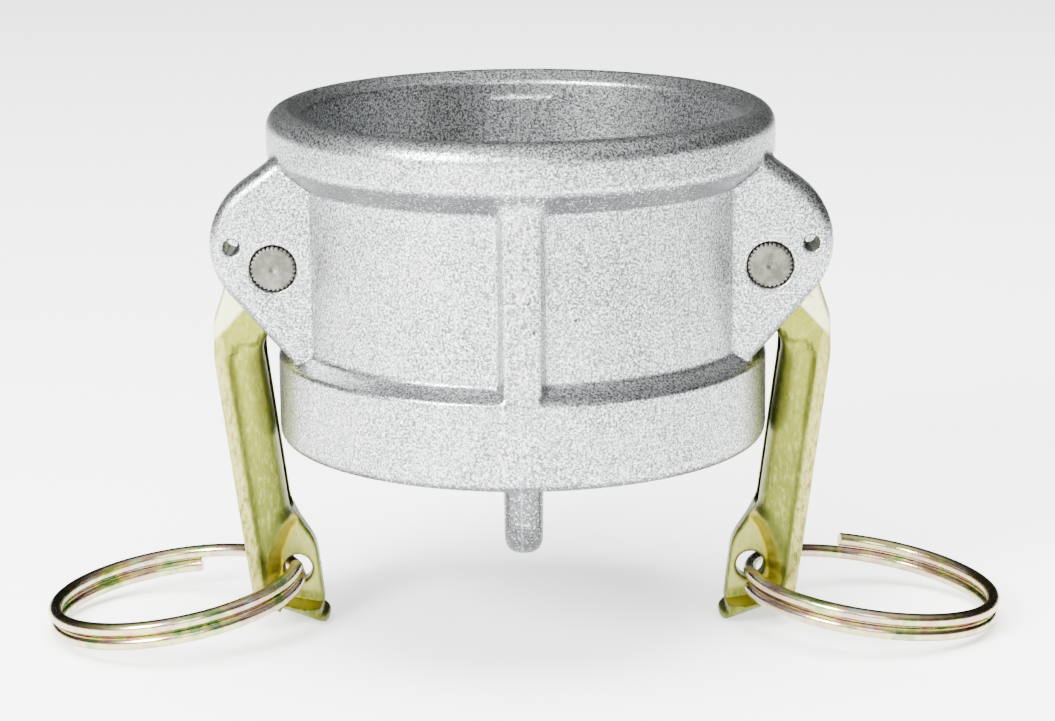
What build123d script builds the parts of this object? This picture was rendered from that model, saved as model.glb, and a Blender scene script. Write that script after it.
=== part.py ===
import os
from math import asin, atan2, cos, degrees, hypot, radians, sin, sqrt

from build123d import *

# Camlock dust cap for a 3 inch male adapter, in millimetres and degrees.
# The origin is the centre of the gasket's sealing face, on the bore axis. +Z points out of the mouth.
# The levers' pivot pins lie along Y, one at +X and one at -X.

# Bore, mouth and rim
bore_d = 92.4
land_height = 13.5
mouth_bore_relief = 1.25
mouth_height = 58.0
lead_in_depth = 2.3
rim_round = 4.3
rim_face_height = 10.5
rim_underside_height = 4.9
rim_overhang = 5.6

# Recessed band, lower band and bottom
wall = 3.4
panel_bottom_height = 6.5
band_overhang = 3.95
band_slope_height = 2.6
body_bottom_depth = 15.1
bottom_round = 2.6

# Stiffening ribs, front and back
rib_overhang = 3.4
rib_top_width = 7.2
rib_root_width = 10.4
rib_round = 1.0

# Gasket and its seat
gasket_under_lip = 1.05
gasket_face_clearance = 0.15
gasket_bevel_height = 1.0
gasket_width = 9.15
gasket_thickness = 6.35
groove_side_clearance = 0.4
groove_clearance = 0.4
floor_thickness = 5.0

# Lever ears, pivots and safety clip holes
pin_offset = 6.65
pin_height = 26.0
ears_outer_width = 42.4
ear_gap = 20.0
ear_nose_back = 2.25
ear_nose_rise = 4.7
ear_nose_r = 15.9
ear_top_angle = 53.4
ear_lower_angle = -41.1
ear_edge = 1.4
ear_top_run = 18.0
ear_lower_run = 31.0
clip_hole_d = 3.4
clip_hole_out = 8.75
clip_hole_rise = 4.7

# Pivot pins
pin_d = 9.525
pin_press_clearance = 0.02
knurl_d = 9.9
knurl_root_d = 9.55
knurl_length = 8.0
knurl_teeth = 30
knurl_hole_clearance = 0.05
dimple_d = 1.6
dimple_depth = 0.4

# Chain lug
lug_length = 28.2
lug_width = 20.0
lug_thickness = 9.2
lug_tip_thickness = 8.4
lug_hole_d = 9.5
lug_edge = 2.2
lug_root = 1.0

# Pressed steel lever, measured from its pivot: out is away from the bore, down is along the handle
sheet = 2.6
lever_width = 19.2
handle_width = 16.4
plate_thickness = 5.6
handle_outer = 17.1
handle_inner = 5.6
lever_bore_clearance = 0.05
rest_gap = 0.25
open_angle = 115.0
open_gap = 0.3
flat_nose_side = 4.0
flat_web_side = 6.5
shoulder_out = 15.9
shoulder_down = 12.0
shoulder_end_down = 20.5
flat_round = 1.5
nose_reach = 10.8
nose_half = 3.6
nose_round = 3.2
heel_out = -1.5
heel_down = 10.0
heel_round = 6.0
waist_round = 5.0
plate_round = 8.0
lip_round = 1.1
shoulder_round = 15.0
handle_start_down = 19.0
waist_down = 57.0
plate_start_down = 66.5
plate_inner = 1.9
plate_end_down = 78.0
foot_notch_out = 2.7
foot_notch_down = 80.2
foot_out = 2.9
foot_down = 84.8
foot_slope = 29.0
foot_corner_r = 5.0
facet_down = 11.5
facet_width = 6.0
facet_taper = 40.0
pinch_arch = ((5.0, 57.5), (9.2, 61.0), (12.0, 66.0), (13.4, 72.0))
pinch_taper = 8.0
lip_thickness = 1.9
channel_end_down = 53.0
ring_hole_out = 6.9
ring_hole_down = 71.9
ring_hole_d = 6.2

# Pull rings
ring_wire_d = 3.0
ring_mean_d = 54.8
ring_chords = 24
ring_wire_sides = 10
ring_turn_gap = 0.15
ring_front_end_angle = 13.0
ring_back_end_angle = 75.0
ring_tilt = 8.0
ring_yaw_left = 10.0
ring_yaw_right = 5.0
ring_hang = 0.95
ring_forward = 0.9
ring_roll_right = 1.5

# Clearance all round the cam noses as they swing through the wall
slot_clearance = 0.6
spare = 6.0

# Places that follow from the sizes above
bore_r = bore_d / 2
panel_r = bore_r + wall
rim_r = panel_r + rim_overhang
band_r = panel_r + band_overhang
rib_r = panel_r + rib_overhang
gasket_r = bore_r + gasket_under_lip
gasket_inner_r = gasket_r - gasket_width
gasket_face_r = bore_r - gasket_face_clearance
groove_r = gasket_r + groove_side_clearance
pin_x = bore_r + pin_offset
clip_hole_x = pin_x + clip_hole_out
clip_hole_z = pin_height + clip_hole_rise
bottom_z = -body_bottom_depth
seat_z = -gasket_thickness
land_top_z = groove_clearance + land_height
rim_low_z = mouth_height - rim_face_height
panel_top_z = rim_low_z - rim_underside_height
band_top_z = panel_bottom_height - band_slope_height
ear_half = ears_outer_width / 2
gap_half = ear_gap / 2
lever_half = lever_width / 2
handle_half = handle_width / 2
plate_half = plate_thickness / 2


def polar(radius, angle):
    """The point at this radius and angle."""
    return Vector(radius * cos(radians(angle)), radius * sin(radians(angle)))


def chords(centre_x, centre_z, radius, start, end, count):
    """Points on an arc, for a rounding made of short straight stretches."""
    steps = [start + (end - start) * step / count for step in range(count + 1)]
    return [(centre_x + polar(radius, angle).X, centre_z + polar(radius, angle).Y) for angle in steps]


# At rest the levers lean in until their flanks are the rest gap away from the body's rounded bottom edge
round_centre_x = band_r - bottom_round
round_centre_z = bottom_z + bottom_round
flank_relief = band_r - sqrt(band_r**2 - (handle_half - sheet) ** 2)
reach_x = pin_x - round_centre_x
reach_z = pin_height - round_centre_z
lean_offset = handle_inner - rest_gap - bottom_round + flank_relief
lean = degrees(atan2(reach_x, reach_z)) + degrees(asin(lean_offset / hypot(reach_x, reach_z)))

# Fully open, the flat on the cam head faces the bore and leaves the adapter free
flat_reach = pin_offset - open_gap
flat_angle = 180.0 - open_angle + lean
flat_middle = polar(flat_reach, flat_angle)
flat_nose_end = flat_middle + polar(flat_nose_side, flat_angle + 90)
flat_web_end = flat_middle + polar(flat_web_side, flat_angle - 90)
shoulder = Vector(shoulder_out, -shoulder_down)
web_direction = (shoulder - flat_web_end).normalized()

# The slot clears the nose below the pivot and, with the lever fully open, the web's end above it
wall_reach = pin_x - panel_r
open_web_end = flat_web_end.rotate(Axis.Z, open_angle - lean)
open_web_direction = web_direction.rotate(Axis.Z, open_angle - lean)
web_run = (-wall_reach - open_web_end.X) / open_web_direction.X
slot_top_z = pin_height + open_web_end.Y + web_run * open_web_direction.Y + slot_clearance
slot_bottom_z = pin_height - sqrt(nose_reach**2 - wall_reach**2) - slot_clearance

# One pair of lever ears at +X: a round nose with two straight edges that run back into the wall
ear_nose = Vector(pin_x - ear_nose_back, pin_height + ear_nose_rise)
ear_top = ear_nose + polar(ear_nose_r, ear_top_angle)
ear_top_root = ear_top + polar(ear_top_run, ear_top_angle + 90)
ear_lower = ear_nose + polar(ear_nose_r, ear_lower_angle)
ear_lower_root = ear_lower + polar(ear_lower_run, ear_lower_angle - 90)

with BuildPart() as ear_pair:
    with BuildSketch(Plane.XZ):
        with Locations((ear_nose.X, ear_nose.Y)):
            Circle(ear_nose_r)
        with BuildLine():
            Polyline(
                (ear_nose.X, ear_nose.Y),
                (ear_top.X, ear_top.Y),
                (ear_top_root.X, ear_top_root.Y),
                (ear_lower_root.X, ear_lower_root.Y),
                (ear_lower.X, ear_lower.Y),
                close=True,
            )
        make_face()
    extrude(amount=ear_half, both=True)
    chamfer(ear_pair.faces().filter_by(Axis.Y).edges(), ear_edge)
    # The lever's space between the two ears
    with BuildSketch(Plane.XZ):
        with Locations((ear_nose.X, ear_nose.Y)):
            Rectangle(5 * ear_nose_r, 7 * ear_nose_r)
    extrude(amount=gap_half, both=True, mode=Mode.SUBTRACT)

# The chain lug under the bottom, tapered towards its round end
lug_tip_z = bottom_z - lug_length
lug_hole_z = lug_tip_z + lug_width / 2

with BuildPart() as chain_lug:
    with BuildSketch(Plane.XZ):
        with BuildLine():
            Polyline(
                (-lug_thickness / 2, bottom_z + lug_root),
                (-lug_tip_thickness / 2, lug_tip_z),
                (lug_tip_thickness / 2, lug_tip_z),
                (lug_thickness / 2, bottom_z + lug_root),
                close=True,
            )
        make_face()
    extrude(amount=lug_width / 2, both=True)
    with BuildSketch(Plane.YZ):
        with Locations((0, lug_hole_z)):
            Circle(lug_width / 2)
            Rectangle(lug_width, lug_length + lug_root, align=(Align.CENTER, Align.MIN))
    extrude(amount=lug_thickness, both=True, mode=Mode.INTERSECT)
    chamfer(chain_lug.edges().filter_by(lambda edge: edge.center().Z < bottom_z), lug_edge)
    with BuildSketch(Plane.YZ):
        with Locations((0, lug_hole_z)):
            Circle(lug_hole_d / 2)
    extrude(amount=lug_thickness, both=True, mode=Mode.SUBTRACT)

# The casting
with BuildPart() as cap_body:
    # Rim, recessed band and lower band, turned about the bore axis
    with BuildSketch(Plane.XZ):
        with BuildLine():
            Polyline(
                (0, bottom_z),
                *chords(band_r - bottom_round, bottom_z + bottom_round, bottom_round, -90, 0, 2),
                (band_r, band_top_z),
                (panel_r, panel_bottom_height),
                (panel_r, panel_top_z),
                (rim_r, rim_low_z),
                *chords(rim_r - rim_round, mouth_height - rim_round, rim_round, 0, 90, 3),
                (0, mouth_height),
                close=True,
            )
        make_face()
    revolve(axis=Axis.Z)
    # Ribs front and back, flared where they meet the recessed band
    with BuildSketch(Plane.XY.offset(band_top_z)) as rib_section:
        Circle(panel_r)
        for side in (-1, 1):
            with BuildLine():
                Polyline(
                    (-rib_root_width / 2, 0),
                    (-rib_root_width / 2, side * (panel_r - rib_round)),
                    (-rib_top_width / 2, side * rib_r),
                    (rib_top_width / 2, side * rib_r),
                    (rib_root_width / 2, side * (panel_r - rib_round)),
                    (rib_root_width / 2, 0),
                    close=True,
                )
            make_face()
        rib_corners = rib_section.vertices().filter_by(lambda v: abs(v.Y) > panel_r * 0.9)
        fillet(rib_corners, rib_round)
    extrude(amount=rim_low_z - band_top_z)
    add(ear_pair.part)
    add(ear_pair.part.rotate(Axis.Z, 180))
    add(chain_lug.part)
    # Bore: lead-in, as-cast taper, machined land, gasket groove and the thinner floor inside the seat
    with BuildSketch(Plane.XZ):
        with BuildLine():
            Polyline(
                (0, mouth_height + spare),
                (rim_r - rim_round, mouth_height + spare),
                (rim_r - rim_round, mouth_height),
                (bore_r + mouth_bore_relief, mouth_height - lead_in_depth),
                (bore_r, land_top_z),
                (bore_r, groove_clearance),
                (groove_r, groove_clearance),
                (groove_r, seat_z),
                (gasket_inner_r, seat_z),
                (gasket_inner_r, bottom_z + floor_thickness),
                (0, bottom_z + floor_thickness),
                close=True,
            )
        make_face()
    revolve(axis=Axis.Z, mode=Mode.SUBTRACT)
    # Cam slots through the wall on both sides, as wide as the gap between the ears
    slot_height = slot_top_z - slot_bottom_z
    with BuildSketch(Plane.YZ):
        with Locations((0, slot_bottom_z + slot_height / 2)):
            Rectangle(ear_gap, slot_height)
    extrude(amount=pin_x, both=True, mode=Mode.SUBTRACT)
    # Pin holes: the front ear takes the splined end, the back ear takes the plain shank
    for side in (-1, 1):
        with BuildSketch(Plane.XZ):
            with Locations((side * pin_x, pin_height)):
                Circle(pin_d / 2 + pin_press_clearance)
            with Locations((side * clip_hole_x, clip_hole_z)):
                Circle(clip_hole_d / 2)
        extrude(amount=ears_outer_width, both=True, mode=Mode.SUBTRACT)
        with BuildSketch(Plane.XZ):
            with Locations((side * pin_x, pin_height)):
                Circle(knurl_d / 2 + knurl_hole_clearance)
        extrude(amount=ears_outer_width, mode=Mode.SUBTRACT)

# Gasket: a flat rubber ring on the seat, with a bevelled edge that the groove's lip keeps in
with BuildPart() as gasket:
    with BuildSketch(Plane.XZ):
        with BuildLine():
            Polyline(
                (gasket_inner_r, 0),
                (gasket_inner_r, seat_z),
                (gasket_r, seat_z),
                (gasket_r, -gasket_bevel_height),
                (gasket_face_r, 0),
                close=True,
            )
        make_face()
    revolve(axis=Axis.Z)

# Pivot pins: a plain shank with straight splines and a centre dimple at the front end
spline_points = []
for tooth in range(knurl_teeth):
    spline_points.append(tuple(polar(knurl_d / 2, 360 * tooth / knurl_teeth)))
    spline_points.append(tuple(polar(knurl_root_d / 2, 360 * (tooth + 0.5) / knurl_teeth)))
front_end = Plane(origin=(pin_x, -ear_half, pin_height), x_dir=(1, 0, 0), z_dir=(0, -1, 0))

with BuildPart() as pivot_pin_right:
    with BuildSketch(front_end):
        with BuildLine():
            Polyline(*spline_points, close=True)
        make_face()
    extrude(amount=-knurl_length)
    with BuildSketch(front_end.offset(-knurl_length)):
        Circle(pin_d / 2)
    extrude(amount=knurl_length - ears_outer_width)
    with BuildSketch(front_end):
        Circle(dimple_d / 2)
    extrude(amount=-dimple_depth, mode=Mode.SUBTRACT)

with BuildPart() as pivot_pin_left:
    with Locations((-2 * pin_x, 0, 0)):
        add(pivot_pin_right.part)

# Lever profile in its own plane: local x is out, local y is up along the lever
lever_plane = Plane(
    origin=(pin_x, 0, pin_height),
    x_dir=(cos(radians(lean)), 0, -sin(radians(lean))),
    z_dir=(0, -1, 0),
)
nose_middle = polar(nose_reach, 180 + lean)
nose_top = nose_middle + polar(nose_half, 90 + lean)
nose_low = nose_middle - polar(nose_half, 90 + lean)
shoulder_end = Vector(handle_outer, -shoulder_end_down)
foot_rise = sin(radians(foot_slope)) / cos(radians(foot_slope))
foot_tip = Vector(foot_out, -foot_down)
foot_corner = Vector(handle_outer, -foot_down + (handle_outer - foot_out) * foot_rise)
foot_top = foot_tip + polar(sheet, foot_slope + 90)
web_inward = Vector(web_direction.Y, -web_direction.X)
web_top_inside = flat_web_end + web_inward * sheet - web_direction * spare
shoulder_inside = shoulder + Vector(-sheet, -sheet / 3)
shoulder_end_inside = Vector(handle_outer - sheet, -shoulder_end_down - sheet / 4)
lip_rise = Vector(0, lip_thickness / cos(radians(foot_slope)))
lip_corner = foot_corner + lip_rise
lip_inner = foot_tip + lip_rise - Vector(3 * spare, 3 * spare * foot_rise)

with BuildPart() as cam_arm_right:
    with BuildSketch(lever_plane):
        with BuildLine():
            FilletPolyline(
                (flat_nose_end.X, flat_nose_end.Y),
                (nose_top.X, nose_top.Y),
                (nose_low.X, nose_low.Y),
                (heel_out, -heel_down),
                (handle_inner, -handle_start_down),
                (handle_inner, -waist_down),
                (plate_inner, -plate_start_down),
                (plate_inner, -plate_end_down),
                (foot_notch_out, -foot_notch_down),
                (foot_top.X, foot_top.Y),
                (foot_tip.X, foot_tip.Y),
                (foot_corner.X, foot_corner.Y),
                (shoulder_end.X, shoulder_end.Y),
                (shoulder.X, shoulder.Y),
                (flat_web_end.X, flat_web_end.Y),
                radius=[
                    flat_round,
                    nose_round,
                    nose_round,
                    heel_round,
                    heel_round,
                    waist_round,
                    plate_round,
                    lip_round,
                    lip_round,
                    lip_round,
                    lip_round,
                    foot_corner_r,
                    shoulder_round,
                    shoulder_round,
                    flat_round,
                ],
                close=True,
            )
        make_face()
    extrude(amount=lever_half, both=True)
    # The side recess that leaves the web's edge standing as a border strip
    recess_out = handle_outer - sheet
    pinch_out = pinch_arch[-1][0]
    for side in (-1, 1):
        with BuildSketch(lever_plane.offset(side * lever_half)):
            with BuildLine():
                Polyline(
                    (-2 * spare, -heel_down - spare),
                    (0, -facet_down),
                    (recess_out - facet_width, -facet_down),
                    (recess_out, -facet_down - facet_width),
                    (recess_out, lip_corner.Y),
                    (lip_inner.X, lip_inner.Y),
                    close=True,
                )
            make_face()
        extrude(amount=-side * (lever_half - handle_half), taper=facet_taper, mode=Mode.SUBTRACT)
    # The pinched end: both flanks drawn in to a flat plate that carries the ring
    for side in (-1, 1):
        with BuildSketch(lever_plane.offset(side * lever_half)):
            with BuildLine():
                Polyline(
                    (-2 * spare, -pinch_arch[0][1]),
                    *[(out, -down) for out, down in pinch_arch],
                    (pinch_out, lip_corner.Y - (recess_out - pinch_out) * foot_rise),
                    (lip_inner.X, lip_inner.Y),
                    close=True,
                )
            make_face()
        extrude(amount=-side * (lever_half - plate_half), taper=pinch_taper, mode=Mode.SUBTRACT)
    # The channel between the flanks, open towards the body
    with BuildSketch(lever_plane):
        with BuildLine():
            Polyline(
                (-3 * spare, web_top_inside.Y),
                (web_top_inside.X, web_top_inside.Y),
                (shoulder_inside.X, shoulder_inside.Y),
                (shoulder_end_inside.X, shoulder_end_inside.Y),
                (recess_out, -channel_end_down + 4),
                (recess_out - 4, -channel_end_down),
                (-3 * spare, -channel_end_down),
                close=True,
            )
        make_face()
    extrude(amount=handle_half - sheet, both=True, mode=Mode.SUBTRACT)
    with BuildSketch(lever_plane):
        Circle(pin_d / 2 + lever_bore_clearance)
        with Locations((ring_hole_out, -ring_hole_down)):
            Circle(ring_hole_d / 2)
    extrude(amount=lever_width, both=True, mode=Mode.SUBTRACT)

with BuildPart() as cam_arm_left:
    add(cam_arm_right.part.rotate(Axis.Z, 180))

# Pull rings: split rings of round wire, wound right-handed; turn 0 of the wire is in the lever's hole
ring_pitch = ring_wire_d + ring_turn_gap
front_turns = (360 - ring_front_end_angle) / 360
back_turns = (360 - ring_back_end_angle) / 360
ring_hole = lever_plane.from_local_coords((ring_hole_out, -ring_hole_down, 0))
wire_x = ring_hole.X
wire_z = ring_hole.Z - ring_hang
ring_points = []
for step in range(round((front_turns + back_turns) * ring_chords) + 1):
    turn = step / ring_chords - front_turns
    radial = polar(ring_mean_d / 2, 180 + 360 * turn)
    ring_points.append((radial.X, radial.Y, turn * ring_pitch))

with BuildPart() as ring_blank:
    with BuildLine() as wire_path:
        Polyline(*ring_points)
    with BuildSketch(Plane(origin=wire_path.line @ 0, z_dir=wire_path.line % 0)):
        RegularPolygon(ring_wire_d / 2, ring_wire_sides)
    sweep(transition=Transition.RIGHT)

# Each ring hangs outwards and a little to the front; the left one is the right one turned over
ring_centre = Pos(ring_mean_d / 2, 0, 0)
place_left = Pos(-wire_x, -ring_forward, wire_z) * Rot(0, 0, ring_yaw_left) * Rot(0, 180 - ring_tilt, 0)
place_right = Pos(wire_x, -ring_forward, wire_z) * Rot(0, 0, -ring_yaw_right) * Rot(0, ring_tilt, 0)

with BuildPart() as pull_ring_left:
    with Locations(place_left * ring_centre):
        add(ring_blank.part)

with BuildPart() as pull_ring_right:
    with Locations(place_right * Rot(-ring_roll_right, 0, 0) * ring_centre):
        add(ring_blank.part)

# Each finished piece, under the name of its node
os.makedirs("parts", exist_ok=True)
cap_body.part.label = "cap_body"
export_step(cap_body.part, "parts/cap_body.step")
gasket.part.label = "gasket"
export_step(gasket.part, "parts/gasket.step")
pivot_pin_left.part.label = "pivot_pin_left"
export_step(pivot_pin_left.part, "parts/pivot_pin_left.step")
pivot_pin_right.part.label = "pivot_pin_right"
export_step(pivot_pin_right.part, "parts/pivot_pin_right.step")
cam_arm_left.part.label = "cam_arm_left"
export_step(cam_arm_left.part, "parts/cam_arm_left.step")
cam_arm_right.part.label = "cam_arm_right"
export_step(cam_arm_right.part, "parts/cam_arm_right.step")
pull_ring_left.part.label = "pull_ring_left"
export_step(pull_ring_left.part, "parts/pull_ring_left.step")
pull_ring_right.part.label = "pull_ring_right"
export_step(pull_ring_right.part, "parts/pull_ring_right.step")
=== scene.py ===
"""Camlock dust cap: the cast cap, its gasket, two pressed cam arms, their pins and their pull rings.

All sizes are millimetres in the frame's own axes; `MM` turns them into metres when a mesh is made.
The arms turn on pins along Y, at `PIN_X` to either side and `PIN_Z` above the gasket's face; the ears'
outer faces and the pins' ends are `EAR_HALF` in front of the middle plane and behind it.
"""

import logging
import math
from dataclasses import dataclass, field
from enum import Enum
from functools import partial
from typing import Callable, Sequence

import bpy
import numpy as np
from mathutils import Matrix, Vector

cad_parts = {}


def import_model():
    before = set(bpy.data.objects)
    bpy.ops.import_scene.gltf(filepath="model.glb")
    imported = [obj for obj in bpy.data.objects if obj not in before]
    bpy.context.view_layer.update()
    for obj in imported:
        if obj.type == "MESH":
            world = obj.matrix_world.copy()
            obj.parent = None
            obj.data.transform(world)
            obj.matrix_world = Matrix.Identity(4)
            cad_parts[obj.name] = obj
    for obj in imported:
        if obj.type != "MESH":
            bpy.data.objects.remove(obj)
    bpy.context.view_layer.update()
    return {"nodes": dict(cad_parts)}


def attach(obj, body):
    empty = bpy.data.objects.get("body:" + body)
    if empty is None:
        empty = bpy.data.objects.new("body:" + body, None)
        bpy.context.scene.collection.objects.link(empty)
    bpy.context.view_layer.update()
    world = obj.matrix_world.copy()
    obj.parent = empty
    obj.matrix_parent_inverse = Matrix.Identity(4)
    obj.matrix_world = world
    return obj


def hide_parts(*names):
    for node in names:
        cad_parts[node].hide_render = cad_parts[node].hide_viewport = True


LOG = logging.getLogger("dust_cap")
MM = 0.001
PIN_X, PIN_Z = 52.85, 26.0
EAR_HALF = 21.2
Array = np.ndarray
Field = Callable[[Array, Array, Array], Array]
Point = tuple[float, float]
Tint = tuple[float, float, float]
Socket = bpy.types.NodeSocket


class Side(Enum):
    """Which of the two arms a piece belongs to; the value is the sign of X there."""

    LEFT = -1
    RIGHT = 1


# Outlines and distances


def polar(radius: float, degrees: float) -> Array:
    """The point at this radius and angle, as (x, y)."""
    return radius * np.array([math.cos(math.radians(degrees)), math.sin(math.radians(degrees))])


def rounded_outline(corners: Sequence[Point], radii: Sequence[float], step: float = 12.0) -> Array:
    """A closed outline whose corners are arcs.

    The arc at a corner starts r * tan(half the turn) before it, and its centre is r to the inner side.

    Args:
        corners: the corners in order.
        radii: the radius at each corner, 0 for a sharp one.
        step: the largest turn between two points of an arc, in degrees.

    Returns:
        Points of the outline, shape (n, 2).
    """
    points = np.array(corners, float)
    out: list[Array] = []
    for here, radius in enumerate(radii):
        corner = points[here]
        before = points[here - 1] - corner
        after = points[(here + 1) % len(points)] - corner
        before /= np.linalg.norm(before)
        after /= np.linalg.norm(after)
        turn = math.pi - math.acos(float(np.clip(before @ after, -1.0, 1.0)))
        if radius <= 0.0 or turn < 1e-3:
            out.append(corner[None, :])
            continue
        start = corner + before * radius * math.tan(turn / 2)
        inward = before + after
        centre = corner + inward / np.linalg.norm(inward) * radius / math.cos(turn / 2)
        spoke = start - centre
        side = np.sign(-before[0] * after[1] + before[1] * after[0])
        angles = np.linspace(0.0, side * turn, max(2, int(math.degrees(turn) / step) + 2))
        cosine, sine = np.cos(angles), np.sin(angles)
        turned = [spoke[0] * cosine - spoke[1] * sine, spoke[0] * sine + spoke[1] * cosine]
        out.append(centre + np.stack(turned, 1))
    return np.concatenate(out)


class Outline:
    """A closed outline that tells how far points are from it."""

    def __init__(self, corners: Sequence[Point], radii: Sequence[float], cell: float = 0.2) -> None:
        """Rounds the corners and fills the table that `near` reads.

        Args:
            corners: the corners in order.
            radii: the radius at each corner, 0 for a sharp one.
            cell: spacing of the table.
        """
        points = self.points = rounded_outline(corners, radii)
        self.cell = cell
        self.low = points.min(0) - 30.0
        counts = ((points.max(0) + 30.0 - self.low) / cell).astype(int) + 2
        u = self.low[0] + cell * np.arange(counts[0])
        v = self.low[1] + cell * np.arange(counts[1])
        self.table = self.distance(*np.meshgrid(u, v, indexing="ij")).astype(np.float32)

    def distance(self, u: Array, v: Array) -> Array:
        """Distance to the nearest stretch, negative inside.

        Each stretch gives |w - e t| with t the clamped share along it; the sign turns at each crossing.

        Args:
            u: first coordinates.
            v: second coordinates.

        Returns:
            Distances, in the shape of `u`.
        """
        nearest = np.full(np.shape(u), 1e12)
        sign = np.ones(np.shape(u))
        for start, end in zip(self.points, np.roll(self.points, -1, 0)):
            edge = end - start
            wu, wv = u - start[0], v - start[1]
            share = np.clip((wu * edge[0] + wv * edge[1]) / max(float(edge @ edge), 1e-12), 0.0, 1.0)
            nearest = np.minimum(nearest, (wu - edge[0] * share) ** 2 + (wv - edge[1] * share) ** 2)
            above, below = v >= start[1], v < end[1]
            left = edge[0] * wv > edge[1] * wu
            crossed = (above & below & left) | (~above & ~below & ~left)
            sign = np.where(crossed, -sign, sign)
        return sign * np.sqrt(nearest)

    def near(self, u: Array, v: Array) -> Array:
        """The same distance read from the table, blended between its four nearest entries."""
        a = np.clip((u - self.low[0]) / self.cell, 0, self.table.shape[0] - 1.001)
        b = np.clip((v - self.low[1]) / self.cell, 0, self.table.shape[1] - 1.001)
        i, j = a.astype(np.int32), b.astype(np.int32)
        a, b = a - i, b - j
        t = self.table
        lower = t[i, j] * (1 - a) + t[i + 1, j] * a
        upper = t[i, j + 1] * (1 - a) + t[i + 1, j + 1] * a
        return lower * (1 - b) + upper * b


def joined(a: Array, b: Array, fillet: Array | float) -> Array:
    """Two solids in one, with a fillet where they meet: the smaller distance less h^2 k / 4."""
    h = np.maximum(fillet - np.abs(a - b), 0.0) / fillet
    return np.minimum(a, b) - h * h * fillet / 4


def common(a: Array, b: Array, edge: float) -> Array:
    """What two solids share, with a rounded edge: the larger distance plus h^2 k / 4."""
    h = np.maximum(edge - np.abs(a - b), 0.0) / edge
    return np.maximum(a, b) + h * h * edge / 4


def slab(flat: Array, across: Array, edge: float) -> Array:
    """A plate with rounded edges, from its outline's distance and the distance past its faces."""
    a, b = flat + edge, across + edge
    return np.minimum(np.maximum(a, b), 0.0) + np.hypot(np.maximum(a, 0.0), np.maximum(b, 0.0)) - edge


def ramp(t: Array) -> Array:
    """0 below 0, 1 above 1, and 3 t^2 - 2 t^3 between."""
    t = np.clip(t, 0.0, 1.0)
    return t * t * (3 - 2 * t)


def stations(*stretches: tuple[float, float, float]) -> Array:
    """Grid stations for stretches given as (start, end, spacing), each joined to the next."""
    parts = [np.linspace(a, b, max(2, round((b - a) / s) + 1))[:-1] for a, b, s in stretches]
    return np.concatenate(parts + [np.array([stretches[-1][1]])])


# Meshes


def placed(name: str, data: bpy.types.ID) -> bpy.types.Object:
    """A new object in the scene that holds this data."""
    thing = bpy.data.objects.new(name, data)
    bpy.context.scene.collection.objects.link(thing)
    return thing


@dataclass
class Surface:
    """Points and faces of a mesh, with optional normals and named values at the points."""

    points: Array
    quads: Array
    triangles: Array = field(default_factory=lambda: np.zeros((0, 3), np.int64))
    normals: Array | None = None
    values: dict[str, Array] = field(default_factory=dict)

    def turned(self, matrix: Array, shift: Array) -> "Surface":
        """The same surface with each point p at matrix p + shift."""
        normals = None if self.normals is None else self.normals @ matrix.T
        return Surface(self.points @ matrix.T + shift, self.quads, self.triangles, normals, self.values)

    def build(self, name: str) -> bpy.types.Object:
        """Makes the mesh object, in metres, smooth shaded.

        Args:
            name: the object's name.

        Returns:
            The object.
        """
        mesh = bpy.data.meshes.new(name)
        corners = np.concatenate([self.quads.ravel(), self.triangles.ravel()])
        totals = np.repeat([4, 3], [len(self.quads), len(self.triangles)])
        mesh.vertices.add(len(self.points))
        mesh.loops.add(len(corners))
        mesh.polygons.add(len(totals))
        mesh.vertices.foreach_set("co", (self.points * MM).astype(np.float32).ravel())
        mesh.loops.foreach_set("vertex_index", corners.astype(np.int32))
        mesh.polygons.foreach_set("loop_start", (np.cumsum(totals) - totals).astype(np.int32))
        mesh.polygons.foreach_set("loop_total", totals.astype(np.int32))
        mesh.polygons.foreach_set("use_smooth", np.ones(len(totals), bool))
        mesh.update(calc_edges=True)
        for key, value in self.values.items():
            layer = mesh.attributes.new(key, "FLOAT", "POINT")
            layer.data.foreach_set("value", value.astype(np.float32))
        if self.normals is not None:
            mesh.normals_split_custom_set_from_vertices(self.normals.astype(np.float32))
        return placed(name, mesh)


def skin(rings: Array, wrap: bool) -> Surface:
    """A surface over rings of points, each ring joined round and to the next.

    Args:
        rings: points, shape (rings, round, 3), in order so that faces point outwards.
        wrap: joins the last ring to the first; otherwise each end closes on the middle of its ring.

    Returns:
        The closed surface.
    """
    count, around = rings.shape[:2]
    points = rings.reshape(-1, 3)
    index = np.arange(count * around).reshape(count, around)
    lower = index if wrap else index[:-1]
    upper = np.roll(index, -1, 0) if wrap else index[1:]
    quads = np.stack([lower, np.roll(lower, -1, 1), np.roll(upper, -1, 1), upper], -1).reshape(-1, 4)
    if wrap:
        return Surface(points, quads)
    points = np.concatenate([points, rings[0].mean(0, keepdims=True), rings[-1].mean(0, keepdims=True)])
    first, last = np.full(around, len(points) - 2), np.full(around, len(points) - 1)
    start = np.stack([first, np.roll(index[0], -1), index[0]], -1)
    end = np.stack([last, index[-1], np.roll(index[-1], -1)], -1)
    return Surface(points, quads, np.concatenate([start, end]))


def slope(shape: Field, points: Array, reach: float = 0.02) -> Array:
    """The way in which a field grows at each point, from differences over `reach` each way."""
    columns = []
    for axis in range(3):
        ahead, behind = points.copy(), points.copy()
        ahead[:, axis] += reach
        behind[:, axis] -= reach
        columns.append((shape(*ahead.T) - shape(*behind.T)) / (2 * reach))
    return np.stack(columns, 1)


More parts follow.
